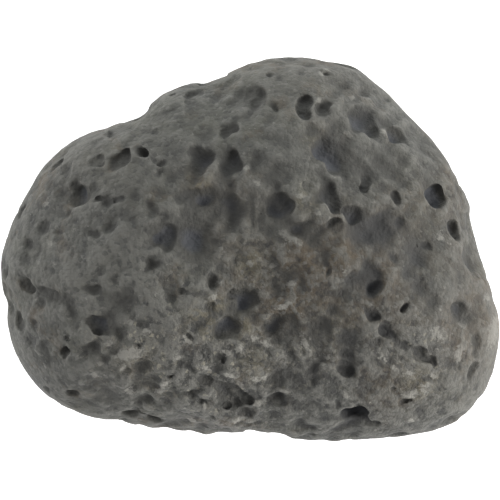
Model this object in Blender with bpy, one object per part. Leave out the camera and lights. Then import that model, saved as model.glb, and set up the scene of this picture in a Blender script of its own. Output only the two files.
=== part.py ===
"""Lava rock: a rounded, tumbled cobble of dark vesicular basalt, one solid piece of stone.

Metres, +Z up. The stone lies on its broad underside. The origin is on the surface it rests
on, under the middle of its box, and +X runs along its longest extent. Sizes in the lists
below are in millimetres and are turned into metres by MM.
"""

import math
import random

import bmesh
import bpy
import numpy as np
from mathutils import Matrix, Vector, noise
from mathutils.bvhtree import BVHTree

MM = 0.001

# Driving dimensions of the bare stone, in millimetres.
CROWN_HEIGHT = 25.5
BELLY_HEIGHT = 20.0
REST_HEIGHT = 18.9
CROWN_POWER = 2.25
BELLY_POWER = 2.35

# Widest outline, seen from above, anticlockwise from the blunt left end.
OUTLINE = [
    (-49.5, -3.5), (-49.1, -8.0), (-48.2, -10.8), (-48.4, -15.0), (-47.4, -19.2),
    (-45.2, -24.0), (-42.2, -28.0), (-38.2, -31.1), (-32.3, -33.6), (-24.2, -35.0),
    (-16.3, -36.7), (-9.1, -37.3), (-1.0, -37.2), (5.7, -37.3), (8.4, -38.3),
    (12.1, -38.3), (18.0, -38.4), (28.0, -37.6), (36.0, -36.0), (42.0, -33.5),
    (46.3, -29.0), (48.8, -22.1), (49.5, -14.0), (48.3, -8.0), (45.5, 0.6),
    (44.1, 6.0), (43.7, 9.4), (41.3, 15.1), (37.2, 20.8), (30.3, 28.5),
    (24.2, 34.4), (19.2, 37.4), (11.0, 38.3), (4.0, 38.3), (-2.0, 36.5),
    (-8.3, 34.0), (-12.2, 33.7), (-18.3, 30.7), (-22.2, 26.6), (-27.7, 24.1),
    (-33.5, 21.8), (-39.7, 17.5), (-43.7, 12.1), (-47.0, 6.2), (-48.9, 0.0),
]
OUTLINE_STEPS = 12

# Gentle waves over the broad faces: (wavelength, height), several headings of each.
WAVES = [(70.0, 0.55), (34.0, 0.36), (17.0, 0.20), (10.0, 0.10)]
WAVE_HEADINGS = 5
WAVE_SEED = 11
WAVE_AT_OUTLINE = 0.08

# The widest section isn't level: it climbs this far over half the length and half the width.
HALF_LENGTH = 50.0
HALF_WIDTH = 38.0
CLIMB_ALONG = -0.4
CLIMB_ACROSS = 0.2

# Pits and dents of the upper face are placed by where they show from a point this far above
# the widest section: (x, y, long, short, turn in degrees, depth).
VIEW_HEIGHT = 600.0
PITS = [
    (-45.0, -6.6, 4.0, 2.4, -56, 1.6),
    (-31.4, -14.8, 4.2, 3.0, -20, 2.6),
    (-37.2, -20.2, 2.0, 1.8, 0, 1.8),
    (-35.8, -29.2, 2.0, 1.8, 0, 1.4),
    (-25.0, -33.4, 2.8, 2.4, 0, 2.0),
    (-26.2, 18.4, 4.2, 2.8, 20, 1.9),
    (-21.2, 19.6, 2.8, 2.2, -50, 1.6),
    (-10.0, 18.0, 5.8, 4.4, 65, 2.2),
    (-4.0, 16.9, 9.2, 4.4, 85, 2.3),
    (-4.6, 24.2, 4.6, 2.6, 75, 1.9),
    (6.0, 9.2, 5.8, 5.2, 0, 3.0),
    (11.0, 29.2, 5.6, 3.0, 90, 2.1),
    (22.8, 26.0, 6.8, 6.0, 0, 3.3),
    (30.0, 23.0, 3.8, 2.2, -10, 2.4),
    (16.2, 19.2, 7.0, 3.8, -65, 2.9),
    (17.0, 5.0, 2.1, 2.0, 0, 2.2),
    (20.7, 6.9, 2.6, 2.4, 90, 2.4),
    (23.7, 13.7, 2.0, 1.6, 90, 2.2),
    (29.2, 10.8, 2.2, 1.6, 80, 1.5),
    (37.8, 11.0, 3.8, 3.7, 0, 3.2),
    (41.2, 4.2, 4.0, 3.2, -55, 2.6),
    (29.0, -1.4, 2.0, 1.6, 0, 1.4),
    (24.8, -7.8, 3.0, 2.6, 90, 2.1),
    (30.8, -11.4, 1.8, 1.8, 0, 1.6),
    (42.2, -11.4, 2.4, 2.2, 90, 1.8),
    (24.4, -12.8, 3.0, 1.5, -35, 1.2),
    (19.4, -22.8, 5.4, 4.4, 90, 2.5),
    (21.4, -33.4, 4.8, 3.4, -10, 3.4),
    (24.8, -34.8, 3.4, 1.8, -25, 1.4),
    (-7.3, -6.9, 1.8, 1.8, 0, 1.6),
    (-1.6, -10.0, 4.2, 3.8, 90, 3.4),
    (-4.6, -16.4, 4.8, 3.4, -10, 2.8),
    (-3.4, -30.2, 6.6, 3.4, -42, 1.4),
    (-32.2, -8.0, 3.2, 1.5, 0, 0.9),
    (-19.2, -34.4, 3.4, 2.8, -35, 2.0),
    (-34.8, 11.0, 4.8, 3.8, 20, 2.1),
    (-30.6, 17.8, 2.4, 2.2, 0, 1.2),
    (-18.0, 2.4, 5.4, 4.8, 0, 2.2),
    (-20.0, -2.4, 3.6, 3.2, 0, 1.0),
    (-20.0, 8.6, 3.8, 1.8, -65, 0.7),
    (-11.2, 32.0, 2.8, 2.0, 70, 1.3),
    (-11.0, 10.4, 6.2, 3.2, 0, 1.8),
    (-3.6, 6.6, 8.6, 4.8, -85, 1.9),
    (15.3, 28.5, 3.2, 2.9, 90, 2.2),
    (1.0, 31.0, 7.2, 5.4, 90, 2.6),
    (16.8, 11.2, 7.4, 3.4, -55, 1.8),
    (45.0, -2.4, 3.6, 2.0, 90, 1.3),
    (32.8, -20.2, 13.0, 2.2, -37, 1.1),
    (28.4, -16.6, 3.6, 1.8, -30, 1.0),
    (45.6, -18.8, 4.8, 2.6, 90, 1.0),
    (10.4, 4.2, 6.2, 3.4, -20, 1.7),
    (4.8, -14.6, 3.8, 3.4, 0, 2.1),
    (5.0, -30.8, 3.8, 3.0, 0, 1.3),
    (-20.4, -30.4, 3.0, 2.4, 0, 0.8),
    (8.4, -21.6, 7.0, 2.6, -65, 1.3),
    (10.8, -35.6, 5.4, 3.0, -35, 1.1),
]
DENTS = [
    (-11.4, 1.8, 7.4, 6.6, -45, 2.8),
    (22.0, 3.4, 6.6, 5.4, 90, 1.8),
    (5.6, 35.4, 4.4, 3.0, 60, 1.0),
    (26.6, 2.0, 4.4, 3.2, -30, 0.9),
    (-28.0, -29.2, 7.8, 4.4, -60, 1.7),
    (-39.0, -9.4, 8.4, 2.4, -14, 1.4),
    (-35.4, -12.4, 5.6, 2.6, -70, 1.2),
    (-18.0, 27.0, 9.0, 2.2, 18, 1.0),
    (-25.2, -10.4, 6.2, 5.4, 0, 1.5),
    (3.2, 22.4, 6.0, 2.4, -20, 0.7),
    (36.4, 16.0, 5.0, 4.4, 90, 0.9),
    (36.0, 7.0, 4.4, 2.8, 90, 0.8),
    (7.6, 16.0, 7.8, 3.0, 0, 0.9),
    (8.0, -4.6, 6.4, 4.0, 0, 1.0),
    (20.0, -17.6, 5.6, 5.0, 90, 1.4),
]

# Pits of the sides and underside are scattered, kept apart, and clear of the resting place.
SCATTER_SEED = 5
SCATTER_COUNT = 46
SCATTER_TOP = 0.22
SCATTER_SPACING = 8.5
SCATTER_SIZE = (2.2, 5.6)
SCATTER_STRETCH = (1.0, 1.7)
SCATTER_DEPTH = (0.45, 0.80)
REST_CLEARANCE = 7.0
REST_NEAR = 2.0

# A pit's wall wanders in and out by this share of its size, over this many waves across it.
PIT_ROUGHNESS = 0.28
PIT_WAVES = 1.3

STONE_SUBDIVISIONS = 5
PIT_SUBDIVISIONS = 2
KEPT_FACES = 0.61
BLOCK_MARGIN = 12.0

STONE_COLOUR = (0.115, 0.112, 0.103, 1.0)
STONE_ROUGHNESS = 0.9


def clear_scene():
    """Remove every object, so that the script gives the same result in any scene."""
    for thing in list(bpy.data.objects):
        bpy.data.objects.remove(thing, do_unlink=True)


def new_collection(name):
    """Make an empty collection and link it to the scene."""
    collection = bpy.data.collections.new(name)
    bpy.context.scene.collection.children.link(collection)
    return collection


def smooth_outline():
    """Angles and radii of a smooth closed curve (Catmull-Rom) through the outline's points."""
    here = np.array(OUTLINE)
    before = np.roll(here, 1, axis=0)
    after = np.roll(here, -1, axis=0)
    beyond = np.roll(here, -2, axis=0)
    curve = []
    for step in range(OUTLINE_STEPS):
        t = step / OUTLINE_STEPS
        linear = (after - before) * t
        square = (2 * before - 5 * here + 4 * after - beyond) * t**2
        cube = (3 * here - before - 3 * after + beyond) * t**3
        curve.append((2 * here + linear + square + cube) / 2)
    curve = np.concatenate(curve)
    angles = np.arctan2(curve[:, 1], curve[:, 0])
    order = np.argsort(angles)
    return angles[order], np.hypot(curve[:, 0], curve[:, 1])[order]


def waves(points):
    """Height of the gentle waves at each point, from plane waves in seeded headings."""
    generator = np.random.default_rng(WAVE_SEED)
    total = np.zeros(len(points))
    for wavelength, height in WAVES:
        for _ in range(WAVE_HEADINGS):
            heading = generator.normal(size=3)
            heading *= 2 * math.pi / wavelength / np.linalg.norm(heading)
            phase = generator.uniform(0, 2 * math.pi)
            total += height * np.sin(points @ heading + phase)
    return total


def bare_stone(directions):
    """Points of the stone without dents and pits, in the given unit directions."""
    angles, radii = smooth_outline()
    level = np.hypot(directions[:, 0], directions[:, 1])
    rise = np.abs(directions[:, 2])
    azimuth = np.arctan2(directions[:, 1], directions[:, 0])
    radius = np.interp(azimuth, angles, radii, period=2 * math.pi)
    upper = directions[:, 2] > 0
    height = np.where(upper, CROWN_HEIGHT, BELLY_HEIGHT)
    power = np.where(upper, CROWN_POWER, BELLY_POWER)
    reach = ((level / radius) ** power + (rise / height) ** power) ** (-1 / power)
    points = directions * reach[:, None]
    weight = WAVE_AT_OUTLINE + (1 - WAVE_AT_OUTLINE) * rise**0.5
    points += directions * (waves(points) * weight)[:, None]
    climb = CLIMB_ALONG * points[:, 0] / HALF_LENGTH + CLIMB_ACROSS * points[:, 1] / HALF_WIDTH
    points[:, 2] += climb
    return points


def press_dents(points):
    """Lower the upper face over each dent, deepest at its middle."""
    result = points.copy()
    shrink = 1 - points[:, 2] / VIEW_HEIGHT
    shown = points[:, :2] / shrink[:, None]
    for x, y, long, short, turn, depth in DENTS:
        angle = math.radians(turn)
        along = (shown[:, 0] - x) * math.cos(angle) + (shown[:, 1] - y) * math.sin(angle)
        across = (shown[:, 1] - y) * math.cos(angle) - (shown[:, 0] - x) * math.sin(angle)
        distance = (2 * along / long) ** 2 + (2 * across / short) ** 2
        result[:, 2] -= np.where(points[:, 2] > 0, depth * np.exp(-distance), 0)
    return result


def make_stone(collection, material):
    """The stone's solid body before its pits are cut, from a sphere drawn out to its form."""
    mesh = bpy.data.meshes.new("lava_rock")
    shape = bmesh.new()
    bmesh.ops.create_icosphere(shape, subdivisions=STONE_SUBDIVISIONS, radius=1)
    shape.to_mesh(mesh)
    shape.free()
    directions = np.array([vertex.co.normalized() for vertex in mesh.vertices])
    points = press_dents(bare_stone(directions))
    points[:, 2] += REST_HEIGHT
    mesh.vertices.foreach_set("co", (points * MM).ravel())
    mesh.materials.append(material)
    stone = bpy.data.objects.new("lava_rock", mesh)
    collection.objects.link(stone)
    return stone


def hide_cutter(cutter):
    """Show a cutter as wire only and keep it out of renders."""
    cutter.display_type = "WIRE"
    cutter.hide_render = True


def add_pit(collection, name, point, normal, heading, pit):
    """A bubble that opens at the point: its mouth is long by short, and it is depth deep."""
    long, short, depth = pit
    half = short / 2
    radius = (half**2 + depth**2) / (2 * depth)
    shape = bmesh.new()
    bmesh.ops.create_icosphere(shape, subdivisions=PIT_SUBDIVISIONS, radius=1)
    for vertex in shape.verts:
        swell = noise.noise(vertex.co * PIT_WAVES + point / MM)
        vertex.co *= radius * MM * (1 + PIT_ROUGHNESS * swell)
    mesh = bpy.data.meshes.new(name)
    shape.to_mesh(mesh)
    shape.free()
    inward = -normal
    across = inward.cross(heading).normalized()
    along = across.cross(inward)
    turn = Matrix((along, across, inward)).transposed().to_4x4()
    stretch = Matrix.Diagonal((long / short, 1, 1, 1))
    middle = point + inward * (depth - radius) * MM
    cutter = bpy.data.objects.new(name, mesh)
    mesh.transform(stretch)
    cutter.matrix_world = Matrix.Translation(middle) @ turn
    hide_cutter(cutter)
    collection.objects.link(cutter)


def add_listed_pits(collection, surface):
    """Cutters for the pits of the upper face."""
    eye = Vector((0, 0, (VIEW_HEIGHT + REST_HEIGHT) * MM))
    for index, (x, y, long, short, turn, depth) in enumerate(PITS):
        aim = Vector((x * MM, y * MM, REST_HEIGHT * MM))
        point, normal, _, _ = surface.ray_cast(eye, aim - eye)
        angle = math.radians(turn)
        heading = Vector((math.cos(angle), math.sin(angle), 0))
        add_pit(collection, f"pit_{index}", point, normal, heading, (long, short, depth))


def add_scattered_pits(collection, surface):
    """Cutters for the pits of the sides and the underside."""
    chance = random.Random(SCATTER_SEED)
    centre = Vector((0, 0, REST_HEIGHT * MM))
    places = []
    while len(places) < SCATTER_COUNT:
        outward = Vector((chance.gauss(0, 1), chance.gauss(0, 1), chance.gauss(0, 1))).normalized()
        point, normal, _, _ = surface.ray_cast(centre, outward)
        near_rest = point.z < REST_NEAR * MM and point.xy.length < REST_CLEARANCE * MM
        crowded = any((point - place).length < SCATTER_SPACING * MM for place in places)
        if normal.z > SCATTER_TOP or near_rest or crowded:
            continue
        short = SCATTER_SIZE[0] + (SCATTER_SIZE[1] - SCATTER_SIZE[0]) * chance.random() ** 2
        long = short * chance.uniform(*SCATTER_STRETCH)
        depth = short * chance.uniform(*SCATTER_DEPTH)
        heading = Vector((chance.gauss(0, 1), chance.gauss(0, 1), chance.gauss(0, 1)))
        add_pit(collection, f"side_pit_{len(places)}", point, normal, heading, (long, short, depth))
        places.append(point)


def make_resting_block(collection):
    """A block whose top face, at Z = 0, wears a flat on the underside."""
    shape = bmesh.new()
    size = np.ptp(np.array(OUTLINE), axis=0) + BLOCK_MARGIN
    depth = BLOCK_MARGIN
    scale = Matrix.Diagonal((size[0] * MM, size[1] * MM, depth * MM, 1))
    place = Matrix.Translation((0, 0, -depth / 2 * MM))
    bmesh.ops.create_cube(shape, size=1, matrix=place @ scale)
    mesh = bpy.data.meshes.new("resting_place")
    shape.to_mesh(mesh)
    shape.free()
    block = bpy.data.objects.new("resting_place", mesh)
    hide_cutter(block)
    collection.objects.link(block)
    return block


def cut_pits(stone, cutters):
    """Cut every pit from the stone, then thin the mesh where it is nearly flat."""
    boolean = stone.modifiers.new("pits", "BOOLEAN")
    boolean.operation = "DIFFERENCE"
    boolean.operand_type = "COLLECTION"
    boolean.collection = cutters
    boolean.solver = "EXACT"
    thin = stone.modifiers.new("thin", "DECIMATE")
    thin.ratio = KEPT_FACES


def wear_flat(stone, block):
    """Cut the resting place last, so that it stays exactly flat."""
    boolean = stone.modifiers.new("resting_place", "BOOLEAN")
    boolean.operation = "DIFFERENCE"
    boolean.object = block
    boolean.solver = "EXACT"


def stone_material():
    """Dull dark grey stone, very slightly warm."""
    material = bpy.data.materials.new("lava_rock")
    material.use_nodes = True
    shader = material.node_tree.nodes["Principled BSDF"]
    shader.inputs["Base Color"].default_value = STONE_COLOUR
    shader.inputs["Roughness"].default_value = STONE_ROUGHNESS
    shader.inputs["Metallic"].default_value = 0.0
    material.diffuse_color = STONE_COLOUR
    return material


def build():
    """Model the lava rock."""
    clear_scene()
    parts = new_collection("lava_rock")
    pits = new_collection("lava_rock_pits")
    blocks = new_collection("lava_rock_blocks")
    stone = make_stone(parts, stone_material())
    surface = BVHTree.FromPolygons(
        [vertex.co.copy() for vertex in stone.data.vertices],
        [tuple(face.vertices) for face in stone.data.polygons],
    )
    add_listed_pits(pits, surface)
    add_scattered_pits(pits, surface)
    stone.data.shade_smooth()
    cut_pits(stone, pits)
    wear_flat(stone, make_resting_block(blocks))


build()
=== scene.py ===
"""Lava rock: its worn, pitted surface and dull basalt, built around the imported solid.

Lists and lengths are in millimetres about the middle of the stone's widest section, which
lies REST_HEIGHT above the floor; MM turns them into metres.
"""

import math
import random

import bmesh
import bpy
import numpy as np
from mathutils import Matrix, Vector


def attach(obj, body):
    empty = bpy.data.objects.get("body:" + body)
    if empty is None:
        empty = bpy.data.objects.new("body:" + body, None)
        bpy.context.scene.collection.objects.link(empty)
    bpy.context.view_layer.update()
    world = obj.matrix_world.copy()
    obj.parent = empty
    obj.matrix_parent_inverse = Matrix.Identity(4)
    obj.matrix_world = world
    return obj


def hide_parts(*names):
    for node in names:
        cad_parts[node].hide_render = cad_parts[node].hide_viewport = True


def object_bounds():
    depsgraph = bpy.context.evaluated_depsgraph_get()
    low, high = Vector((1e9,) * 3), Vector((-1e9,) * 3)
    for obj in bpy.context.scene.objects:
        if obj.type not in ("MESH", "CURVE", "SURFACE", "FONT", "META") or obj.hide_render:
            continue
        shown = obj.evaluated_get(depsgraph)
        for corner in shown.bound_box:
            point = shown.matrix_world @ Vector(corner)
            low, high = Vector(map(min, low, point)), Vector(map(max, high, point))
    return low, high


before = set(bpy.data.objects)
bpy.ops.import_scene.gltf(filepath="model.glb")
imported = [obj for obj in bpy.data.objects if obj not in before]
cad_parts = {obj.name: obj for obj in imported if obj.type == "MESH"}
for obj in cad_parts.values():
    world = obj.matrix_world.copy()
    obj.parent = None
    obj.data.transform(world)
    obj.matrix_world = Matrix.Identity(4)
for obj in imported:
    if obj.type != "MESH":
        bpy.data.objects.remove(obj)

import openvdb
from mathutils import Vector, noise
from mathutils.bvhtree import BVHTree

CAD_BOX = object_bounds()
MM = 0.001
NODE = "lava_rock"

# Form of the bare stone: how high it is above and below its widest section, how high that
# stands over the floor, how square the stone is seen from the side, and the outline of the
# section, anticlockwise from the left.
CROWN_HEIGHT = 25.5
BELLY_HEIGHT = 20.0
REST_HEIGHT = 18.9
CROWN_POWER = 2.25
BELLY_POWER = 2.35
OUTLINE = [
    (-49.5, -3.5), (-49.1, -8.0), (-48.2, -10.8), (-48.4, -15.0), (-47.4, -19.2),
    (-45.2, -24.0), (-42.2, -28.0), (-38.2, -31.1), (-32.3, -33.6), (-24.2, -35.0),
    (-16.3, -36.7), (-9.1, -37.3), (-1.0, -37.2), (5.7, -37.3), (8.4, -38.3),
    (12.1, -38.3), (18.0, -38.4), (28.0, -37.6), (36.0, -36.0), (42.0, -33.5),
    (46.3, -29.0), (48.8, -22.1), (49.5, -14.0), (48.3, -8.0), (45.5, 0.6),
    (44.1, 6.0), (43.7, 9.4), (41.3, 15.1), (37.2, 20.8), (30.3, 28.5),
    (24.2, 34.4), (19.2, 37.4), (11.0, 38.3), (4.0, 38.3), (-2.0, 36.5),
    (-8.3, 34.0), (-12.2, 33.7), (-18.3, 30.7), (-22.2, 26.6), (-27.7, 24.1),
    (-33.5, 21.8), (-39.7, 17.5), (-43.7, 12.1), (-47.0, 6.2), (-48.9, 0.0),
]
OUTLINE_STEPS = 12
# Soft unevenness of the bare stone: its waves (length, height), and the share of them that is
# left at the outline.
WAVES = [(70.0, 0.55), (34.0, 0.36), (17.0, 0.20), (10.0, 0.10)]
WAVE_HEADINGS = 5
WAVE_SEED = 11
WAVE_AT_OUTLINE = 0.08
# How far the widest section climbs from its middle to its right end and to its upper edge,
# and how far off those are.
CLIMB_ALONG = -0.4
CLIMB_ACROSS = 0.2
HALF_LENGTH = 50.0
HALF_WIDTH = 38.0

# Pits and dents of the upper face, placed by where they show from VIEW_HEIGHT above the
# widest section: (x, y, long, short, turn in degrees, depth).
VIEW_HEIGHT = 600.0
PITS = [
    (-45.0, -6.6, 4.0, 2.4, -56, 1.6),
    (-31.2, -15.0, 4.4, 2.7, -20, 2.7),
    (-37.2, -20.2, 1.9, 1.7, 0, 1.6),
    (-35.8, -29.2, 2.0, 1.8, 0, 1.4),
    (-25.0, -33.4, 2.8, 2.4, 0, 2.0),
    (-26.2, 18.4, 4.2, 2.8, 20, 1.9),
    (-21.2, 19.6, 2.8, 2.2, -50, 1.6),
    (-10.0, 18.0, 6.2, 4.6, 65, 2.0),
    (-4.1, 16.6, 9.4, 5.0, 85, 2.1),
    (-4.6, 24.2, 4.6, 2.6, 75, 1.9),
    (6.0, 9.2, 5.8, 5.2, 0, 3.0),
    (11.0, 29.2, 5.6, 3.0, 90, 2.1),
    (22.8, 26.2, 6.6, 5.8, 0, 3.1),
    (30.2, 23.0, 3.7, 1.9, -10, 2.5),
    (16.4, 19.0, 6.8, 3.6, -65, 3.3),
    (17.2, 5.1, 1.5, 1.4, 0, 1.9),
    (20.9, 7.0, 2.1, 1.9, 90, 2.7),
    (23.6, 13.9, 1.7, 1.4, 90, 2.0),
    (29.2, 10.8, 1.9, 1.4, 80, 1.4),
    (37.8, 11.0, 3.8, 3.7, 0, 3.2),
    (41.2, 4.2, 4.0, 3.2, -55, 2.6),
    (29.0, -1.4, 2.0, 1.6, 0, 1.4),
    (24.8, -7.8, 3.0, 2.6, 90, 2.1),
    (30.8, -11.4, 1.8, 1.8, 0, 1.6),
    (42.2, -11.4, 2.4, 2.2, 90, 1.8),
    (24.4, -12.8, 3.0, 1.5, -35, 1.2),
    (19.4, -22.8, 5.4, 4.4, 90, 2.0),
    (21.4, -33.4, 4.8, 3.4, -10, 3.4),
    (24.8, -34.8, 3.4, 1.8, -25, 1.4),
    (-7.3, -6.9, 1.8, 1.8, 0, 1.6),
    (-1.6, -10.0, 4.2, 3.8, 90, 3.4),
    (-4.6, -16.4, 4.8, 3.4, -10, 2.8),
    (-3.4, -30.2, 6.6, 3.4, -42, 1.4),
    (-32.2, -8.0, 3.2, 1.5, 0, 0.9),
    (-19.2, -34.4, 3.4, 2.8, -35, 2.0),
    (-34.8, 11.0, 4.8, 3.8, 20, 2.1),
    (-30.6, 17.8, 2.6, 2.2, 0, 1.2),
    (-18.0, 2.4, 5.6, 5.0, 0, 2.4),
    (-20.0, -2.4, 3.6, 3.2, 0, 1.0),
    (-20.0, 8.6, 3.8, 1.8, -65, 0.7),
    (-11.2, 32.0, 2.8, 2.0, 70, 1.3),
    (-11.0, 10.4, 6.8, 3.6, 0, 2.3),
    (-3.6, 6.6, 8.8, 5.0, -85, 2.0),
    (15.3, 28.5, 3.2, 2.9, 90, 2.2),
    (0.8, 31.0, 6.8, 4.8, 90, 1.7),
    (16.4, 11.2, 8.0, 4.0, -55, 2.1),
    (45.0, -2.4, 3.6, 2.0, 90, 1.3),
    (32.8, -20.2, 13.0, 2.2, -37, 1.1),
    (28.4, -16.6, 3.6, 1.8, -30, 1.0),
    (45.6, -18.8, 4.8, 2.6, 90, 1.0),
    (10.6, 4.2, 7.2, 3.8, -20, 2.0),
    (4.8, -14.6, 3.8, 3.4, 0, 2.1),
    (5.0, -30.8, 3.8, 3.0, 0, 1.3),
    (-20.4, -30.4, 3.0, 2.4, 0, 0.8),
    (8.4, -21.6, 7.0, 2.6, -65, 1.3),
    (10.8, -35.6, 5.4, 3.0, -35, 1.1),
]
# Finer pits and short grooves between them, too small for the solid.
FINE_PITS = [
    (-37.2, 7.4, 1.6, 1.2, 90, 0.8),
    (-35.0, 5.6, 0.9, 0.8, 0, 0.6),
    (-39.0, 3.4, 1.4, 0.9, 0, 0.6),
    (-30.4, 10.0, 1.6, 1.0, 0, 0.6),
    (30.8, 5.4, 1.4, 1.2, 90, 1.0),
    (17.6, -30.6, 2.0, 1.0, 90, 0.8),
    (19.2, -24.2, 2.6, 2.0, 0, 2.0),
    (-12.6, -23.8, 8.0, 1.1, -25, 0.8),
    (-8.6, -26.2, 3.6, 1.0, -40, 0.7),
    (12.2, -27.0, 2.6, 0.9, -55, 0.7),
    (-0.8, 1.4, 2.0, 1.2, -40, 0.8),
    (19.0, 20.4, 2.6, 1.0, -20, 0.8),
    (-21.2, -18.2, 1.6, 1.2, 0, 0.9),
    (-19.8, -14.8, 1.0, 1.0, 0, 0.8),
    (-27.4, -20.4, 1.2, 0.8, 0, 0.6),
    (-31.0, -20.0, 2.8, 1.4, -40, 0.7),
    (-16.2, -24.8, 1.2, 0.8, 0, 0.6),
    (-9.8, -30.4, 1.0, 1.0, 0, 0.7),
    (-19.2, -8.6, 1.8, 1.0, -45, 0.7),
    (4.4, -19.0, 1.0, 0.7, 0, 0.5),
    (11.0, -20.2, 0.9, 0.8, 0, 0.6),
    (-8.8, -11.2, 1.2, 0.8, 0, 0.6),
    (10.4, -1.8, 2.4, 1.2, 0, 0.7),
    (15.2, -3.6, 2.8, 1.2, 90, 0.7),
    (16.4, -8.8, 4.0, 1.2, 0, 0.7),
    (20.4, -4.2, 3.0, 1.0, 75, 0.8),
    (23.2, -0.2, 1.6, 0.9, 0, 0.6),
    (26.6, -2.4, 2.0, 0.9, 0, 0.6),
    (34.0, -5.6, 1.6, 1.0, 90, 0.7),
    (37.0, -33.4, 1.0, 0.8, 0, 0.6),
    (35.6, 1.2, 1.4, 1.2, 0, 1.1),
    (-3.0, -2.8, 1.4, 1.2, 0, 1.0),
    (-4.2, -31.8, 1.8, 1.0, 0, 0.8),
    (4.8, 12.6, 2.2, 1.6, 60, 1.4),
    (5.0, 6.6, 1.8, 1.4, 0, 1.2),
    (-22.5, -33.0, 3.2, 1.0, -5, 0.8),
    (-40.6, -8.8, 8.0, 1.4, -6, 1.1),
    (-36.0, -11.0, 4.4, 1.3, -65, 0.9),
    (-46.6, -14.0, 4.0, 2.6, -20, 1.8),
    (5.0, -9.2, 4.0, 1.2, 90, 0.9),
    (30.4, 26.6, 1.4, 1.4, 0, 0.8),
    (23.8, 31.4, 1.4, 1.2, 0, 0.8),
    (21.2, 32.4, 4.8, 1.6, 0, 0.8),
    (-15.2, 28.4, 2.0, 1.2, 0, 0.6),
    (4.0, 35.4, 1.6, 1.2, 90, 0.8),
    (4.0, 28.8, 2.2, 1.1, -40, 0.8),
    (-26.4, 15.0, 2.0, 1.6, 0, 0.7),
    (-17.4, 17.2, 1.6, 1.6, 0, 0.7),
    (-9.8, 25.8, 2.8, 2.0, 0, 0.8),
    (-26.2, 10.0, 1.8, 1.4, 0, 1.0),
    (-39.2, 17.0, 3.6, 1.6, 50, 0.8),
    (-46.0, 7.4, 3.2, 1.6, 65, 0.8),
    (44.8, -24.4, 3.6, 2.0, 90, 0.8),
    (31.4, -30.2, 2.8, 1.8, 0, 0.8),
    (0.0, -35.0, 7.2, 1.4, 0, 0.6),
    (-13.0, -29.4, 2.8, 1.2, 0, 0.6),
    (-31.2, 3.6, 3.2, 1.2, 0, 0.6),
    (7.0, 34.4, 2.8, 1.6, 0, 0.7),
    (-3.2, -29.2, 6.2, 1.4, -42, 2.2),
]
# Broad soft dents, and how far above the widest section they reach their full depth.
DENT_RISE = 3.0
DENTS = [
    (-11.4, 1.8, 7.4, 6.6, -45, 2.8),
    (22.0, 3.4, 6.6, 5.4, 90, 1.8),
    (5.6, 35.4, 4.4, 3.0, 60, 1.0),
    (26.6, 2.0, 4.4, 3.2, -30, 0.9),
    (-28.0, -29.2, 7.8, 4.4, -60, 1.7),
    (-39.0, -9.4, 8.4, 2.4, -14, 1.4),
    (-35.4, -12.4, 5.6, 2.6, -70, 1.2),
    (-18.0, 27.0, 9.0, 2.2, 18, 1.0),
    (-25.2, -10.4, 6.2, 5.4, 0, 1.5),
    (3.2, 22.4, 6.0, 2.4, -20, 0.7),
    (36.4, 16.0, 5.0, 4.4, 90, 0.9),
    (36.0, 7.0, 4.4, 2.8, 90, 0.8),
    (7.6, 16.0, 7.8, 3.0, 0, 0.9),
    (8.0, -4.6, 6.4, 4.0, 0, 1.0),
    (20.0, -17.6, 5.6, 5.0, 90, 1.4),
]

# Large pits scattered over the sides and underside, the same as the solid's.
SCATTER_SEED = 5
SCATTER_COUNT = 46
SCATTER_TOP = 0.22
SCATTER_SPACING = 8.5
SCATTER_SIZE = (2.2, 5.6)
SCATTER_STRETCH = (1.0, 1.7)
SCATTER_DEPTH = (0.45, 0.80)
# None is closer than this to the middle of the flat that the stone rests on, up to this height.
REST_CLEARANCE = 7.0
REST_BAND = 2.0

# Worn hollows and small bubbles all over the skin: (how many, smallest and largest mouth,
# least and most depth as a share of the mouth), and how much longer than wide they get.
BUBBLES = [(420, 3.0, 6.5, 0.10, 0.20), (220, 1.1, 2.2, 0.22, 0.5), (250, 0.7, 1.1, 0.25, 0.5)]
BUBBLE_STRETCH = 0.8
BUBBLE_SEED = 21

# The volume that the stone is carved in: the grid's pitch, the room around the stone, the
# limits of the slope that its distances are evened out by, and the room kept for each bubble
# beyond its mouth: a share of its depth, and a fixed spare width.
VOXEL = 0.36
MARGIN = 2.0
SLOPES = (0.5, 4.0)
DEPTH_ROOM = 1.3
SPARE_ROOM = 1.0
# How soft a pit's rim is worn, as a share of its mouth, and the most that any rim is. Rims are
# worn more on the side that faces WORN_SIDE, and less on the other.
RIM_WEAR = 0.28
MOST_WEAR = 1.25
WORN_SIDE = (-0.95, 0.3, 0.0)
UNEVEN_WEAR = 0.6
# Waves that bend the grid, so that no bubble is a neat oval: (length, height).
WARPS = [(9.0, 0.18), (3.6, 0.17)]
WARP_HEADINGS = 5
WARP_SEED = 3
# The flat that the stone rests on is cut with slight waves, so that its mesh stays as fine as
# the rest: their height, and the lengths over which they turn.
FLAT_WAVE = 0.02
FLAT_WAVE_SIZES = [0.9, 0.55]
# Faces of the finished mesh, and how finely the bare stone is divided to place pits on it.
FACES = 194000
FORM_SUBDIVISIONS = 6

# Fine relief on the carved skin: lumps, whose noise has a fall-off, a step in size and a number
# of octaves; small rounded hollows with sharp edges between; and raised flecks. SINK lowers the
# relief as a whole.
LUMP_SIZE = 6.0
LUMP_HEIGHT = 0.55
LUMP_NOISE = (1.0, 2.0, 3)
HOLLOW_SIZE = 2.6
HOLLOW_DEPTH = 0.50
HOLLOW_OCTAVES = 3
FLECK_HEIGHT = 0.25
SINK = 0.2
# The share of that relief on the upper face outside its rough patches, on the rest of the
# stone, and at the edge, a band this far above and below the widest section.
CALM_SHARE = 0.28
REST_SHARE = 0.7
EDGE_SHARE = 0.28
EDGE_BAND = 6.0
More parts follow.
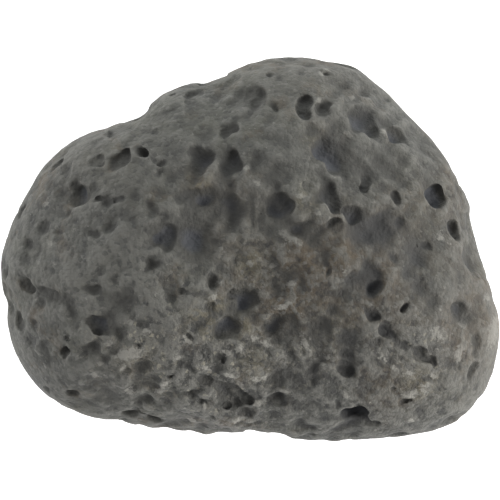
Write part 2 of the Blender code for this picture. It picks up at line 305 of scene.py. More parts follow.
# Rough patches of the upper face: (x, y, radius, strength).
ROUGH_PATCHES = [
    (-18.0, -18.0, 15.0, 1.0), (0.0, -20.0, 15.0, 1.0), (6.0, -3.0, 11.0, 0.6),
    (24.0, -22.0, 13.0, 0.6), (36.0, -29.0, 10.0, 0.5), (-30.0, -2.0, 12.0, 0.3),
]
# The shares of relief that the material takes for calm and for rough skin.
CALM_TO_ROUGH = (0.25, 1.0)
# A ridge, or a finer tip, is what stands above the skin after this many passes of averaging.
RIDGE_PASSES = 14
TIP_PASSES = 3

# Soft patches of the upper face that are browner, stained ochre, lighter, in painted shade,
# crusted with pale grains, pale with painted rim light, or streaked: (x, y, radius, strength).
PATCHES = {
    "warm": [
        (20.0, -4.0, 12.0, 1.0), (9.0, -6.0, 8.0, 0.7), (27.0, -26.0, 6.0, 0.6),
        (-10.0, 13.2, 2.4, 0.7), (45.0, -12.0, 9.0, 0.6), (4.0, -15.0, 8.0, 0.6),
        (40.0, 10.0, 9.0, 0.5), (-4.0, 4.0, 9.0, 0.4),
    ],
    "ochre": [
        (-5.7, -10.7, 1.8, 0.9), (-7.3, -14.7, 2.4, 0.8), (-1.0, -14.0, 2.6, 0.9),
        (0.0, -2.7, 2.8, 0.9), (12.7, 21.3, 2.2, 0.6), (-9.4, -12.8, 2.8, 0.7),
        (10.7, 9.3, 2.0, 0.6), (-9.8, 13.0, 2.2, 0.7), (1.0, -22.0, 3.4, 0.6),
        (33.0, -26.0, 3.6, 0.6), (-22.0, -20.4, 4.0, 0.5), (16.0, -14.0, 4.0, 0.4),
    ],
    "light": [
        (-25.0, -10.0, 11.0, 1.0), (-36.0, -4.0, 8.0, 0.6), (-2.0, 5.0, 9.0, 0.9),
        (-2.0, -13.0, 7.0, 0.7), (26.0, 24.0, 9.0, 0.5), (-7.3, 15.4, 2.4, 1.0),
        (14.0, 26.0, 8.0, 0.4), (-20.7, -14.2, 3.6, 0.6), (-24.0, -1.0, 7.0, 0.5),
    ],
    # Painted shade, over the middle and lower right of the upper face and over its larger pits.
    "painted_shade": [
        (25.0, 3.0, 9.0, 1.0), (25.0, -13.0, 9.0, 1.0), (18.0, -33.0, 12.0, 1.0),
        (35.0, -5.0, 8.0, 0.5), (34.0, -32.0, 8.0, 0.4), (22.8, 26.2, 2.8, 0.9),
        (15.6, 20.0, 2.8, 0.8), (16.4, 11.4, 2.6, 0.5), (-4.0, 16.0, 3.0, 0.7),
        (-9.8, 17.4, 2.4, 0.6), (-3.4, 8.0, 3.2, 0.6), (5.6, 9.0, 2.4, 0.5),
        (10.4, 29.0, 2.2, 0.5), (-12.0, 9.6, 3.0, 0.5), (-15.0, 3.0, 2.6, 0.5),
    ],
    "flecked": [
        (-22.0, -18.0, 9.0, 0.8), (-4.0, -24.0, 11.0, 0.7), (34.0, -19.0, 8.0, 0.5),
        (3.0, -6.0, 8.0, 0.5), (12.0, -20.0, 8.0, 0.4), (10.0, 10.0, 5.0, 0.4),
    ],
    # Pale, and partly painted light: the lit right, upper and left rims, and a septum between
    # pits.
    "pale_and_rim_light": [
        (46.0, -16.0, 14.0, 0.9), (12.0, 36.0, 14.0, 0.5), (-30.0, 18.0, 14.0, 0.4),
        (-7.3, 17.6, 1.4, 1.0), (-7.3, 15.4, 1.3, 1.0), (-7.2, 13.0, 1.4, 1.0),
    ],
    "streaked": [(34.0, -24.0, 15.0, 0.9), (14.0, -28.0, 10.0, 0.6)],
}
# Pale flecks of the upper face: (x, y, long, short, turn in degrees).
FLECKS = [
    (14.8, 35.2, 1.4, 1.0, 0), (13.8, 34.5, 1.0, 0.9, 0), (13.4, 29.0, 1.2, 1.0, 0),
    (20.0, 29.8, 1.2, 0.9, 30), (19.0, 22.4, 1.6, 1.0, -30), (26.0, 23.2, 1.4, 1.0, 0),
    (-39.8, 9.0, 1.2, 0.9, 0), (-38.8, 1.4, 1.2, 0.9, 0), (-0.6, 15.8, 1.4, 0.9, 60),
    (1.6, 12.6, 1.4, 1.0, -40), (9.6, 10.4, 1.4, 1.0, 0), (13.2, 7.0, 1.2, 0.9, 0),
    (0.0, -2.6, 1.6, 1.2, 0), (4.4, -3.0, 1.2, 1.0, 0), (8.0, -6.4, 1.4, 1.0, 20),
    (6.8, -10.8, 1.6, 1.0, 0), (-7.0, -9.0, 1.4, 1.0, 0), (-23.0, -14.0, 1.6, 1.2, 0),
    (-20.0, -15.6, 1.4, 1.2, 0), (-23.4, -20.0, 5.2, 2.2, 10), (-30.2, -24.2, 1.6, 1.0, 0),
    (-29.0, -22.0, 1.2, 1.0, 0), (-23.4, -27.6, 1.8, 1.2, 0), (-17.6, -27.4, 1.6, 1.2, 0),
    (-14.4, -20.8, 1.6, 1.2, 0), (-5.6, -13.6, 1.4, 1.0, 0), (-2.0, -19.0, 1.6, 1.4, 0),
    (-4.4, -19.8, 1.6, 1.2, 0), (0.8, -17.0, 1.6, 1.2, 0), (10.6, -17.8, 3.0, 1.0, -63),
    (15.0, -20.8, 1.4, 1.0, 0), (14.0, -22.0, 1.2, 1.0, 0), (1.0, -25.0, 1.6, 1.2, 0),
    (2.8, -24.8, 1.2, 1.0, 0), (1.4, -29.8, 2.0, 1.4, 0), (-8.4, -30.4, 1.6, 1.4, 0),
    (-2.6, -33.4, 2.0, 1.2, 0), (36.4, -16.2, 2.4, 2.4, 0), (25.4, -20.6, 2.0, 1.2, -40),
    (31.0, -24.2, 1.6, 1.2, 0), (32.0, -27.8, 1.4, 1.0, 0), (34.0, -27.6, 1.4, 1.0, 0),
    (31.6, -33.4, 1.4, 1.0, 0), (35.8, -24.4, 1.4, 1.2, 0),
    (37.0, 2.4, 1.4, 1.0, 0), (46.6, -9.4, 1.6, 1.2, 0), (41.6, -14.4, 1.8, 1.4, 0),
    (41.0, -19.0, 1.6, 1.2, 0), (48.0, -16.0, 6.0, 2.2, 80),
    (7.5, 2.6, 4.8, 1.4, -30), (13.0, -21.3, 3.8, 1.3, 35), (25.3, -20.5, 2.4, 0.8, -10),
    (34.0, -26.3, 2.6, 0.9, 15), (30.7, -28.3, 3.2, 0.9, -20), (28.0, -23.0, 1.6, 0.8, -40),
    (6.7, -10.7, 3.0, 0.9, 30), (3.0, -18.0, 2.2, 0.8, -30), (40.7, -20.2, 4.0, 1.2, 80),
    (-8.7, -22.7, 2.4, 0.8, -30), (-16.7, -26.0, 2.0, 1.0, 30), (-4.0, -24.3, 2.6, 0.8, -16),
    (-27.0, -18.0, 2.0, 0.8, 20), (-12.0, -17.4, 2.2, 0.8, -50), (6.4, -27.4, 2.6, 0.8, -20),
    (18.6, -28.2, 2.2, 0.8, -40), (-24.6, -22.8, 1.6, 0.9, 50), (-11.4, -33.6, 1.8, 0.9, -30),
]

# Colours of the stone and the floor.
DARK_GREY = (0.072, 0.073, 0.068, 1.0)
MID_GREY = (0.112, 0.112, 0.103, 1.0)
OLIVE_GREY = (0.122, 0.122, 0.104, 1.0)
LIGHT_GREY = (0.190, 0.188, 0.172, 1.0)
# The rims' pale grey, partly painted light.
RIM_PALE_AND_LIGHT_GREY = (0.182, 0.168, 0.149, 1.0)
BROWN = (0.120, 0.094, 0.066, 1.0)
OCHRE = (0.215, 0.188, 0.122, 1.0)
PALE_MINERAL = (0.320, 0.312, 0.282, 1.0)
CREAM_MINERAL = (0.400, 0.375, 0.300, 1.0)
# Black of mineral grains, also painted shade in creases and pits.
BLACK_MINERAL_AND_SHADE = (0.045, 0.046, 0.048, 1.0)
# Painted shade of hollows and pits: grey in shallow ones, bluish in deep ones.
HOLLOW_SHADE_GREY = (0.077, 0.076, 0.070, 1.0)
PIT_SHADE_BLUE = (0.094, 0.100, 0.115, 1.0)
FLOOR_WHITE = (0.85, 0.85, 0.85, 1.0)
FLOOR_ROUGHNESS = 0.8

# Noises of the stone: (whether it is bent or straight, size, detail, roughness).
NOISES = {
    "cloud": ("bent", 15.0, 4.0, 0.60),
    "stain": ("bent", 8.0, 5.0, 0.72),
    "mottle": ("bent", 2.8, 5.0, 0.66),
    "crust": ("straight", 1.7, 4.0, 0.66),
    "grit": ("straight", 0.7, 3.0, 0.60),
}
# How far the bent noises are bent, and over what distance, in metres.
DRIFT_SIZE = 0.003
DRIFT = (0.0004, 0.0004, 0.0004)
# Streaks run from upper left to lower right of the lower face: turn, size in metres, detail.
STREAK_TURN = (0.0, 0.0, math.radians(-42))
STREAK_SIZE = (0.006, 0.0012, 0.0012)
STREAK_DETAIL = 3.0
# Grains, and larger broken chips and holes: their size, how much grit breaks their edges, and
# how far from a chip's middle it ends.
GRAIN_SIZE = 0.8
CHIP_SIZE = 1.1
CHIP_BREAK = 2.4
CHIP_END = (1.70, 1.30)
# Where a fleck broken by grit starts, and where the mottle lets curls of mineral through.
FLECK_BREAK = 1.4
FLECK_EDGE = (1.05, 1.35)
CURL_EDGE = (0.42, 0.55)
# How strongly grains show on calm and on rough skin.
GRAIN_CONTRAST = (0.7, 1.5)

# Colours laid over the mottled base, first to last: (what scales it, what shows it, where that
# starts and is full, the most that is laid, colour). One with nothing to show it is even.
MOTTLE_EDGE = (0.36, 0.64)
LAYERS = [
    (None, "cloud", (0.42, 0.62), 0.70, OLIVE_GREY),
    (None, "stain", (0.52, 0.66), 0.55, BROWN),
    # Pale rims, partly painted light.
    ("pale_and_rim_light", None, None, 0.45, RIM_PALE_AND_LIGHT_GREY),
    ("light", None, None, 0.54, LIGHT_GREY),
    # Painted shade.
    ("painted_shade", None, None, 0.85, DARK_GREY),
    ("warm", "stain", (0.30, 0.58), 0.85, BROWN),
    ("contrast", "grain", (0.70, 0.95), 0.50, LIGHT_GREY),
    ("contrast", "grain", (0.32, 0.05), 0.45, BLACK_MINERAL_AND_SHADE),
    ("streaked", "streak", (0.50, 0.66), 0.60, LIGHT_GREY),
    ("streaked", "streak", (0.48, 0.34), 0.50, BLACK_MINERAL_AND_SHADE),
    (None, "ridge", (0.06, 0.40), 0.42, LIGHT_GREY),
    # Painted shade in creases and hollows.
    (None, "ridge", (-0.06, -0.45), 0.30, BLACK_MINERAL_AND_SHADE),
    ("contrast", "tip", (0.01, 0.09), 0.30, LIGHT_GREY),
    # Painted shade in fine crevices.
    ("contrast", "tip", (0.00, -0.10), 0.30, BLACK_MINERAL_AND_SHADE),
    ("curled", "off middle", (0.035, 0.0), 0.70, PALE_MINERAL),
    ("ochre", "crust", (0.42, 0.60), 0.70, OCHRE),
    ("flecked", "crust", (0.52, 0.66), 0.35, PALE_MINERAL),
    ("chipped", "chip", (0.70, 0.90), 0.80, CREAM_MINERAL),
    ("chipped", "chip", (0.16, 0.08), 0.80, BLACK_MINERAL_AND_SHADE),
    ("contrast", "crust", (0.65, 0.72), 0.60, PALE_MINERAL),
    ("contrast", "fleck", FLECK_EDGE, 0.60, PALE_MINERAL),
    # Painted shade in hollows and pits, by their depth.
    (None, "depth", (0.35, 1.80), 0.75, HOLLOW_SHADE_GREY),
    (None, "depth", (2.00, 3.40), 0.80, PIT_SHADE_BLUE),
    # Painted shade, black in the pits of the painted shade patches.
    ("painted_shade", "depth", (0.60, 1.80), 0.75, BLACK_MINERAL_AND_SHADE),
]
# How dull the stone is from dark to light mottle, and the height and strength of the bumps of
# its crust (on calm and on rough skin) and of its grit, in which each grain's edge dips.
DULLNESS = (0.72, 0.92)
SPECULAR = 0.4
CRUST_HEIGHT = 0.8
CRUST_STRENGTH = (0.4, 1.0)
GRIT_HEIGHT = 0.35
GRIT_STRENGTH = 0.7
GRAIN_DIP = -0.6

# Camera's width of view at the widest section, the floor in metres, and the lights:
# (name, place in metres, size in metres, power in watts, colour).
VIEW_WIDTH = 100.0
FLOOR_SIZE = 4.0
SKY_WHITE = (1.0, 1.0, 1.0, 1.0)
SKY_STRENGTH = 0.36
FLOOR_GLOW = 1.1
LIGHTS = [
    ("key", (0.60, -0.12, 0.29), 0.3, 3.15, (1.0, 0.98, 0.95)),
    ("low", (0.45, -0.45, 0.16), 0.4, 0.8, (1.0, 0.98, 0.96)),
    ("back", (0.05, 0.60, 0.22), 0.4, 1.5, (0.96, 1.0, 0.98)),
    ("side", (-0.62, 0.08, 0.16), 0.4, 1.7, (1.0, 1.0, 1.0)),
]


def smooth_outline():
    """Angles and radii of a smooth closed curve (Catmull-Rom) through the outline's points."""
    here = np.array(OUTLINE)
    before = np.roll(here, 1, axis=0)
    after = np.roll(here, -1, axis=0)
    beyond = np.roll(here, -2, axis=0)
    curve = []
    for step in range(OUTLINE_STEPS):
        t = step / OUTLINE_STEPS
        linear = (after - before) * t
        square = (2 * before - 5 * here + 4 * after - beyond) * t**2
        cube = (3 * here - before - 3 * after + beyond) * t**3
        curve.append((2 * here + linear + square + cube) / 2)
    curve = np.concatenate(curve)
    angles = np.arctan2(curve[:, 1], curve[:, 0])
    order = np.argsort(angles)
    return angles[order], np.hypot(curve[:, 0], curve[:, 1])[order]


def plane_waves(x, y, z, sizes, headings, seed):
    """Sum of seeded plane waves, a smooth noise that costs little on a large volume."""
    generator = np.random.default_rng(seed)
    total = np.zeros_like(x)
    for wavelength, height in sizes:
        for _ in range(headings):
            heading = generator.normal(size=3)
            heading *= 2 * math.pi / wavelength / np.linalg.norm(heading)
            phase = generator.uniform(0, 2 * math.pi)
            total += height * np.sin(x * heading[0] + y * heading[1] + z * heading[2] + phase)
    return total


def surface_reach(x, y, z):
    """Distance from the middle to the bare skin towards each point, and to the point itself."""
    angles, radii = smooth_outline()
    far = np.sqrt(x * x + y * y + z * z) + 1e-6
    level = np.hypot(x, y) / far
    rise = np.abs(z) / far
    radius = np.interp(np.arctan2(y, x), angles, radii, period=2 * math.pi).astype(x.dtype)
    height = np.where(z > 0, CROWN_HEIGHT, BELLY_HEIGHT).astype(x.dtype)
    power = np.where(z > 0, CROWN_POWER, BELLY_POWER).astype(x.dtype)
    reach = ((level / radius) ** power + (rise / height) ** power) ** (-1 / power)
    scale = reach / far
    waves = plane_waves(x * scale, y * scale, z * scale, WAVES, WAVE_HEADINGS, WAVE_SEED)
    return reach + waves * (WAVE_AT_OUTLINE + (1 - WAVE_AT_OUTLINE) * np.sqrt(rise)), far


def climb(x, y):
    """How far the widest section stands above its mean level at each place."""
    return CLIMB_ALONG * x / HALF_LENGTH + CLIMB_ACROSS * y / HALF_WIDTH


def dent_depth(x, y, z):
    """How far the dents lower the upper face at each place."""
    shrink = 1 - z / VIEW_HEIGHT
    shown_x = x / shrink
    shown_y = y / shrink
    total = np.zeros_like(x)
    for place_x, place_y, long, short, turn, depth in DENTS:
        cosine = math.cos(math.radians(turn))
        sine = math.sin(math.radians(turn))
        along = (shown_x - place_x) * cosine + (shown_y - place_y) * sine
        across = (shown_y - place_y) * cosine - (shown_x - place_x) * sine
        distance = (2 * along / long) ** 2 + (2 * across / short) ** 2
        total += depth * np.exp(-distance)
    return total * np.clip(z / DENT_RISE, 0, 1)


def bare_surface():
    """The bare stone's skin as a tree for ray casts, in millimetres."""
    shape = bmesh.new()
    bmesh.ops.create_icosphere(shape, subdivisions=FORM_SUBDIVISIONS, radius=1)
    directions = np.array([vertex.co.normalized() for vertex in shape.verts])
    reach, _ = surface_reach(*directions.T)
    points = directions * reach[:, None]
    points[:, 2] += climb(points[:, 0], points[:, 1])
    for vertex, point in zip(shape.verts, points):
        vertex.co = point
    shape.normal_update()
    surface = BVHTree.FromBMesh(shape)
    shape.free()
    return surface


def listed(surface, pits):
    """Places of the pits listed by where they show: point, normal, heading and size of each."""
    eye = Vector((0, 0, VIEW_HEIGHT))
    placed = []
    for x, y, long, short, turn, depth in pits:
        point, normal, _, _ = surface.ray_cast(eye, Vector((x, y, 0)) - eye)
        angle = math.radians(turn)
        heading = Vector((math.cos(angle), math.sin(angle), 0))
        placed.append((point, normal, heading, (long, short, depth)))
    return placed


def random_direction(chance):
    """A direction in space, any as likely as any other."""
    return Vector((chance.gauss(0, 1), chance.gauss(0, 1), chance.gauss(0, 1)))


def scattered(surface):
    """The large pits of the sides and the underside."""
    chance = random.Random(SCATTER_SEED)
    placed = []
    while len(placed) < SCATTER_COUNT:
        outward = random_direction(chance).normalized()
        point, normal, _, _ = surface.ray_cast(Vector(), outward)
        near_rest = point.z + REST_HEIGHT < REST_BAND and point.xy.length < REST_CLEARANCE
        crowded = any((point - other[0]).length < SCATTER_SPACING for other in placed)
        if normal.z > SCATTER_TOP or near_rest or crowded:
            continue
        short = SCATTER_SIZE[0] + (SCATTER_SIZE[1] - SCATTER_SIZE[0]) * chance.random() ** 2
        long = short * chance.uniform(*SCATTER_STRETCH)
        depth = short * chance.uniform(*SCATTER_DEPTH)
        heading = random_direction(chance)
        placed.append((point, normal, heading, (long, short, depth)))
    return placed


def rough_share(points):
    """How rough the skin is at each point: less at the edge and away from the rough patches."""
    above = np.clip(points[:, 2] / EDGE_BAND, 0, 1)
    upper = CALM_SHARE + (1 - CALM_SHARE) * patch(points, ROUGH_PATCHES)
    edge = np.clip(1 - np.abs(points[:, 2]) / EDGE_BAND, 0, 1)
    return (REST_SHARE + (upper - REST_SHARE) * above) * (1 - (1 - EDGE_SHARE) * edge)


def bubbles(surface):
    """Worn hollows and small bubbles all over the skin."""
    chance = random.Random(BUBBLE_SEED)
    placed = []
    for count, smallest, largest, shallow, deep in BUBBLES:
        for _ in range(count):
            point, normal, _, _ = surface.ray_cast(Vector(), random_direction(chance))
            short = smallest + (largest - smallest) * chance.random() ** 2
            long = short * (1 + BUBBLE_STRETCH * chance.random() ** 2)
            depth = short * chance.uniform(shallow, deep) * rough_share(np.array([point]))[0]
            placed.append((point, normal, random_direction(chance), (long, short, depth)))
    return placed


def stone_volume():
    """Signed distance to the bare stone's skin on a grid, with the grid's axes."""
    low = (np.array(CAD_BOX[0]) / MM - MARGIN) - (0, 0, REST_HEIGHT)
    high = (np.array(CAD_BOX[1]) / MM + MARGIN) - (0, 0, REST_HEIGHT)
    axes = [np.arange(a, b, VOXEL, dtype=np.float32) for a, b in zip(low, high)]
    x, y, z = np.meshgrid(*axes, indexing="ij")
    level = z + dent_depth(x, y, z) - climb(x, y)
    reach, far = surface_reach(x, y, level)
    # Far from the skin the field is steeper or flatter than a distance, so its slope evens it.
    field = far - reach
    slope = np.sqrt(sum(side**2 for side in np.gradient(field, VOXEL)))
    field /= np.clip(slope, *SLOPES)
    return field, axes


def warped(axes):
    """The grid's coordinates, bent a little, so that no bubble carved there is a neat oval."""
    x, y, z = np.meshgrid(*axes, indexing="ij")
    shifts = [plane_waves(x, y, z, WARPS, WARP_HEADINGS, WARP_SEED + side) for side in range(3)]
    return x + shifts[0], y + shifts[1], z + shifts[2]


def carve(field, axes, bent, pit):
    """Carve one bubble from the volume, with its rim worn round."""
    point, normal, heading, (long, short, depth) = pit
    # The bubble is a ball, drawn out along its heading, that meets the skin in the pit's mouth.
    half = short / 2
    radius = (half**2 + depth**2) / (2 * depth)
    stretch = long / short
    inward = -normal
    across = inward.cross(heading).normalized()
    along = across.cross(inward)
    middle = point + inward * (depth - radius)
    wear = min(MOST_WEAR, RIM_WEAR * short)
    reach = min(radius, DEPTH_ROOM * depth + half) * max(stretch, 1)
    reach += (1 + UNEVEN_WEAR) * wear + SPARE_ROOM
    span = []
    for axis, place in zip(axes, point):
        first, last = np.searchsorted(axis, (place - reach, place + reach))
        span.append(slice(first, last))
    span = tuple(span)
    offset = [bent[side][span] - middle[side] for side in range(3)]
    u = sum(offset[side] * along[side] for side in range(3)) / stretch
    v = sum(offset[side] * across[side] for side in range(3))
    w = sum(offset[side] * inward[side] for side in range(3))
    bubble = radius - np.sqrt(u * u + v * v + w * w)
    facing = sum(offset[side] * WORN_SIDE[side] for side in range(3)) / (half + wear)
    wear = wear * (1 + UNEVEN_WEAR * np.clip(facing, -1, 1))
    # The smooth maximum of the two rounds the rim over the width of its wear.
    near = np.clip(wear - np.abs(field[span] - bubble), 0, None) / wear
    field[span] = np.maximum(field[span], bubble) + near**2 * wear / 4


def skin(field, axes):
    """Mesh of the volume's skin, in metres, standing on the floor."""
    grid = openvdb.FloatGrid()
    grid.copyFromArray(field)
    points, quads = grid.convertToQuads(isovalue=0.0)
    corner = np.array([axis[0] for axis in axes])
    points = (points * VOXEL + corner + (0, 0, REST_HEIGHT)) * MM
    mesh = bpy.data.meshes.new("stone")
    mesh.from_pydata(points.tolist(), [], quads.tolist())
    return mesh


def height_over_flat(axes):
    """How far each place of the grid is above the slightly waved flat under the stone."""
    x, y = np.meshgrid(axes[0], axes[1], indexing="ij")
    waves = sum(np.sin(x / size) * np.sin(y / size) for size in FLAT_WAVE_SIZES)
    lift = FLAT_WAVE * (len(FLAT_WAVE_SIZES) + waves)
    return REST_HEIGHT + axes[2][None, None, :] - lift[:, :, None]


def carved_stone():
    """Carve the stone from its volume and mesh its skin, with fewer faces where it is even."""
    surface = bare_surface()
    field, axes = stone_volume()
    bent = warped(axes)
    pits = listed(surface, PITS) + scattered(surface) + listed(surface, FINE_PITS)
    for pit in pits + bubbles(surface):
        carve(field, axes, bent, pit)
    field = np.maximum(field, -height_over_flat(axes))
    stone = bpy.data.objects.new("stone", skin(field, axes))
    bpy.context.scene.collection.objects.link(stone)
    thin = stone.modifiers.new("thin", "DECIMATE")
    thin.ratio = FACES / (2 * len(stone.data.polygons))
    evaluated = stone.evaluated_get(bpy.context.evaluated_depsgraph_get())
    stone.data = bpy.data.meshes.new_from_object(evaluated)
    stone.modifiers.clear()
    return stone


def coordinates(mesh):
    """The mesh's points, one row each, in millimetres."""
    flat = np.empty(3 * len(mesh.vertices))
    mesh.vertices.foreach_get("co", flat)
    return flat.reshape(-1, 3) / MM


def point_normals(mesh):
    """The mesh's normal at each point."""
    flat = np.empty(3 * len(mesh.vertices))
    mesh.vertex_normals.foreach_get("vector", flat)
    return flat.reshape(-1, 3)


def roughen(mesh):
    """Raise and sink the skin along its normals: soft lumps, then hollows with edges between."""
    points = coordinates(mesh)
    rough = []
    for point in points:
        place = Vector(point)
        lump = noise.fractal(place / LUMP_SIZE, *LUMP_NOISE)
        hollow = noise.turbulence(place / HOLLOW_SIZE, HOLLOW_OCTAVES, True)
        rough.append(LUMP_HEIGHT * lump - HOLLOW_DEPTH * hollow)
    level = points - (0, 0, REST_HEIGHT)
    rough = (np.array(rough) - np.mean(rough)) * rough_share(level) - SINK
    rough += FLECK_HEIGHT * flecks(level)
    points += point_normals(mesh) * rough[:, None]
    points[:, 2] = np.maximum(points[:, 2], 0)
    mesh.vertices.foreach_set("co", (points * MM).ravel())
    mesh.update()


def neighbour_mean(values, pairs):
    """Mean of the values at each point's neighbours."""
    total = np.zeros_like(values)
    count = np.bincount(pairs.ravel(), minlength=len(values))
    for side in range(values.shape[1]):
        for here, there in ((0, 1), (1, 0)):
            weights = values[pairs[:, there], side]
            total[:, side] += np.bincount(pairs[:, here], weights, minlength=len(values))
    return total / np.maximum(count, 1)[:, None]


def note(mesh, name, values):
    """Store one number for each point, for the material to read."""
    attribute = mesh.attributes.new(name, "FLOAT", "POINT")
    attribute.data.foreach_set("value", values.astype(np.float32))


def patch(points, places):
    """How far inside a set of soft round patches each point is, from 0 to 1."""
    total = np.zeros(len(points))
    for x, y, width, strength in places:
        distance = np.hypot(points[:, 0] - x, points[:, 1] - y) / width
        total += strength * np.exp(-(distance**2))
    return np.clip(total, 0, 1)


def flecks(points):
    """How near each point is to the middle of a listed pale fleck, from 0 to 1."""
    nearest = np.zeros(len(points))
    upper = points[:, 2] > 0
    for x, y, long, short, turn in FLECKS:
        angle = math.radians(turn)
        along = (points[:, 0] - x) * math.cos(angle) + (points[:, 1] - y) * math.sin(angle)
        across = (points[:, 1] - y) * math.cos(angle) - (points[:, 0] - x) * math.sin(angle)
        distance = np.hypot(2 * along / long, 2 * across / short)
        nearest = np.maximum(nearest, np.clip(1 - distance / 2, 0, 1) * upper)
    return nearest


def note_shape(mesh):
    """Store how sunk and how sharp the skin is at each point, and its stains and patches of
    painted shade and light.
    """
    pairs = np.empty(2 * len(mesh.edges), dtype=np.int32)
    mesh.edges.foreach_get("vertices", pairs)
    pairs = pairs.reshape(-1, 2)
    points = coordinates(mesh) - (0, 0, REST_HEIGHT)
    reach, far = surface_reach(points[:, 0], points[:, 1], points[:, 2] - climb(*points.T[:2]))
    normals = point_normals(mesh)
    smooth = points
    for done in range(RIDGE_PASSES):
        if done == TIP_PASSES:
            note(mesh, "tip", np.sum((points - smooth) * normals, axis=1))
        smooth = neighbour_mean(smooth, pairs)
    upper = np.clip(points[:, 2] / EDGE_BAND, 0, 1)
    note(mesh, "depth", reach - far)
    note(mesh, "rough", rough_share(points))
    note(mesh, "ridge", np.sum((points - smooth) * normals, axis=1))
    for name, places in PATCHES.items():
        note(mesh, name, patch(points, places) * upper)
    note(mesh, "fleck", flecks(points))


def add_node(tree, kind, inputs, **settings):
    """Add a node, set it, and feed its inputs from numbers, colours or other nodes' outputs."""
    node = tree.nodes.new(kind)
    for key, value in settings.items():
        setattr(node, key, value)
    for key, value in inputs.items():
        if isinstance(value, bpy.types.NodeSocket):
            tree.links.new(value, node.inputs[key])
        else:
            node.inputs[key].default_value = value
    return node


def arithmetic(tree, operation, *numbers):
    """The result of one sum on values."""
    node = add_node(tree, "ShaderNodeMath", dict(enumerate(numbers)), operation=operation)
    return node.outputs["Value"]


def ramp(tree, value, edge):
    """0 before the edge starts, 1 where it is full, and smooth between them."""
    inputs = {"Value": value, "From Min": edge[0], "From Max": edge[1]}
    node = add_node(tree, "ShaderNodeMapRange", inputs, interpolation_type="SMOOTHSTEP")
    return node.outputs["Result"]


def spread(tree, value, span, to):
    """The value scaled from one span to another, and kept inside it."""
    inputs = {
        "Value": value, "From Min": span[0], "From Max": span[1], "To Min": to[0], "To Max": to[1],
    }
    return add_node(tree, "ShaderNodeMapRange", inputs).outputs["Result"]


def mix(tree, share, first, second):
    """A blend of two colours."""
    inputs = {"Factor": share, "A": first, "B": second}
    node = tree.nodes.new("ShaderNodeMix")
    node.data_type = "RGBA"
    # The node has sockets of the same name for each type of data; these pick the colours'.
    for socket in node.inputs:
        if socket.type == ("VALUE" if socket.name == "Factor" else "RGBA") and socket.enabled:
            value = inputs[socket.name]
            if isinstance(value, bpy.types.NodeSocket):
                tree.links.new(value, socket)
            else:
                socket.default_value = value
    return next(out for out in node.outputs if out.type == "RGBA")


def grain_noise(tree, place, size, detail, roughness):
    """Fractal noise whose largest features are about size millimetres across."""
    inputs = {"Vector": place, "Scale": 1 / (size * MM), "Detail": detail, "Roughness": roughness}
    return add_node(tree, "ShaderNodeTexNoise", inputs).outputs["Fac"]


def grains(tree, place, size):
    """Small grains about size across: a number from 0 to 1 for each, and how far its middle is."""
    inputs = {"Vector": place, "Scale": 1 / (size * MM)}
    cells = add_node(tree, "ShaderNodeTexVoronoi", inputs)
    channels = add_node(tree, "ShaderNodeSeparateColor", {"Color": cells.outputs["Color"]})
    return channels.outputs["Red"], cells.outputs["Distance"]


def streaks(tree, place):
    """Noise drawn out along the streaks of the lower face."""
    inputs = {"Vector": place, "Rotation": STREAK_TURN, "Scale": STREAK_SIZE}
    drawn = add_node(tree, "ShaderNodeMapping", inputs, vector_type="TEXTURE")
    inputs = {"Vector": drawn.outputs["Vector"], "Scale": 1.0, "Detail": STREAK_DETAIL}
    return add_node(tree, "ShaderNodeTexNoise", inputs).outputs["Fac"]


def stored(tree):
    """The numbers that note_shape stored on the mesh, by name."""
    return {
        name: add_node(tree, "ShaderNodeAttribute", {}, attribute_name=name).outputs["Fac"]
        for name in ("depth", "ridge", "tip", "rough", "fleck", *PATCHES)
    }


def textured(tree):
    """The values that the colours are laid by: those stored on the mesh, noises and grains."""
    values = stored(tree)
    straight = add_node(tree, "ShaderNodeTexCoord", {}).outputs["Object"]
    drift = add_node(tree, "ShaderNodeTexNoise", {"Vector": straight, "Scale": 1 / DRIFT_SIZE})
    inputs = {0: drift.outputs["Color"], 1: DRIFT, 2: straight}
    bent = add_node(tree, "ShaderNodeVectorMath", inputs, operation="MULTIPLY_ADD")
    places = {"straight": straight, "bent": bent.outputs["Vector"]}
    for name, (place, size, detail, roughness) in NOISES.items():
        values[name] = grain_noise(tree, places[place], size, detail, roughness)
    values["streak"] = streaks(tree, places["bent"])
    values["grain"], values["off grain"] = grains(tree, straight, GRAIN_SIZE)
    values["chip"], off_chip = grains(tree, straight, CHIP_SIZE)
    off_chip = arithmetic(tree, "MULTIPLY_ADD", values["grit"], CHIP_BREAK, off_chip)
    on_chip = ramp(tree, off_chip, CHIP_END)
    values["chipped"] = arithmetic(tree, "MULTIPLY", values["flecked"], on_chip)
    curled = ramp(tree, values["mottle"], CURL_EDGE)
    values["curled"] = arithmetic(tree, "MULTIPLY", values["flecked"], curled)
    centred = arithmetic(tree, "SUBTRACT", values["crust"], 0.5)
    values["off middle"] = arithmetic(tree, "ABSOLUTE", centred)
    values["contrast"] = spread(tree, values["rough"], CALM_TO_ROUGH, GRAIN_CONTRAST)
    fleck = arithmetic(tree, "MULTIPLY_ADD", values["grit"], FLECK_BREAK, values["fleck"])
    values["fleck"] = fleck
    return values


def layered(tree, values):
    """Colour of the stone: the mottled base, and every layer over it."""
    colour = mix(tree, ramp(tree, values["mottle"], MOTTLE_EDGE), DARK_GREY, MID_GREY)
    for scale, shown, edge, most, tone in LAYERS:
        share = most
        if shown:
            share = arithmetic(tree, "MULTIPLY", ramp(tree, values[shown], edge), share)
        if scale:
            share = arithmetic(tree, "MULTIPLY", values[scale], share)
        colour = mix(tree, share, colour, tone)
    return colour


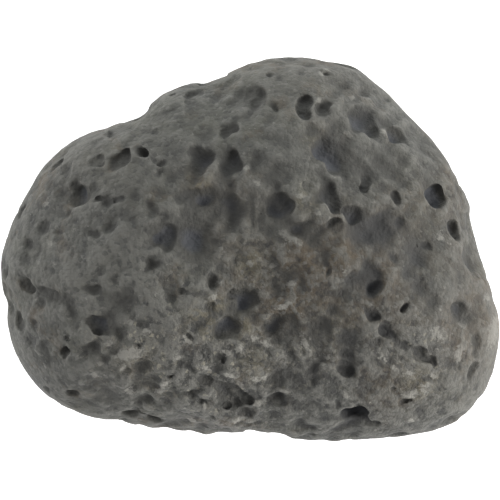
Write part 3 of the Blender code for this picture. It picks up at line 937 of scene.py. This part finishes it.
def bumped(tree, values):
    """Normal of the skin: bumps of its crust, and finer ones of grit and grains on them."""
    inputs = {
        "Height": values["crust"], "Distance": CRUST_HEIGHT * MM,
        "Strength": spread(tree, values["rough"], CALM_TO_ROUGH, CRUST_STRENGTH),
    }
    crust = add_node(tree, "ShaderNodeBump", inputs)
    inputs = {
        "Height": arithmetic(tree, "MULTIPLY_ADD", values["off grain"], GRAIN_DIP, values["grit"]),
        "Distance": GRIT_HEIGHT * MM, "Strength": GRIT_STRENGTH,
        "Normal": crust.outputs["Normal"],
    }
    return add_node(tree, "ShaderNodeBump", inputs).outputs["Normal"]


def basalt():
    """Dull mottled basalt: painted bluish-black shade in the pits, pale rims partly painted light,
    lighter on worn edges, with pale flecks.
    """
    material = bpy.data.materials.new("basalt")
    material.use_nodes = True
    tree = material.node_tree
    shader = tree.nodes["Principled BSDF"]
    values = textured(tree)
    roughness = spread(tree, values["mottle"], (0, 1), DULLNESS)
    tree.links.new(layered(tree, values), shader.inputs["Base Color"])
    tree.links.new(roughness, shader.inputs["Roughness"])
    tree.links.new(bumped(tree, values), shader.inputs["Normal"])
    shader.inputs["Specular IOR Level"].default_value = SPECULAR
    return material


def floor_material():
    """Plain, slightly rough white."""
    material = bpy.data.materials.new("floor")
    material.use_nodes = True
    shader = material.node_tree.nodes["Principled BSDF"]
    shader.inputs["Base Color"].default_value = FLOOR_WHITE
    shader.inputs["Roughness"].default_value = FLOOR_ROUGHNESS
    shader.inputs["Emission Color"].default_value = FLOOR_WHITE
    shader.inputs["Emission Strength"].default_value = FLOOR_GLOW
    return material


def make_floor():
    """A wide plain floor under the stone."""
    bpy.ops.mesh.primitive_plane_add(size=FLOOR_SIZE)
    floor = bpy.context.object
    floor.name = "floor"
    floor.data.materials.append(floor_material())
    return floor


def add_light(name, place, size, power, colour):
    """A square soft light that faces the stone."""
    light = bpy.data.lights.new(name, "AREA")
    light.size = size
    light.energy = power
    light.color = colour
    lamp = bpy.data.objects.new(name, light)
    lamp.location = place
    lamp.rotation_euler = (-Vector(place)).to_track_quat("-Z", "Y").to_euler()
    bpy.context.scene.collection.objects.link(lamp)


def light_scene():
    """Even white surroundings, and broad soft lights low at the sides."""
    world = bpy.data.worlds.new("surroundings")
    world.use_nodes = True
    world.node_tree.nodes["Background"].inputs["Color"].default_value = SKY_WHITE
    world.node_tree.nodes["Background"].inputs["Strength"].default_value = SKY_STRENGTH
    bpy.context.scene.world = world
    for light in LIGHTS:
        add_light(*light)
    bpy.context.scene.view_settings.view_transform = "Standard"


def place_camera():
    """Look straight down on the stone from where its pits are listed."""
    data = bpy.data.cameras.new("camera")
    data.lens = data.sensor_width * VIEW_HEIGHT / VIEW_WIDTH
    camera = bpy.data.objects.new("camera", data)
    camera.location = (0, 0, (REST_HEIGHT + VIEW_HEIGHT) * MM)
    bpy.context.scene.collection.objects.link(camera)
    bpy.context.scene.camera = camera


def dress_stone():
    """The finished stone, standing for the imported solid."""
    stone = carved_stone()
    roughen(stone.data)
    note_shape(stone.data)
    stone.data.shade_smooth()
    stone.data.materials.append(basalt())
    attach(stone, "root")
    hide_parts(NODE)


dress_stone()
make_floor()
light_scene()
place_camera()
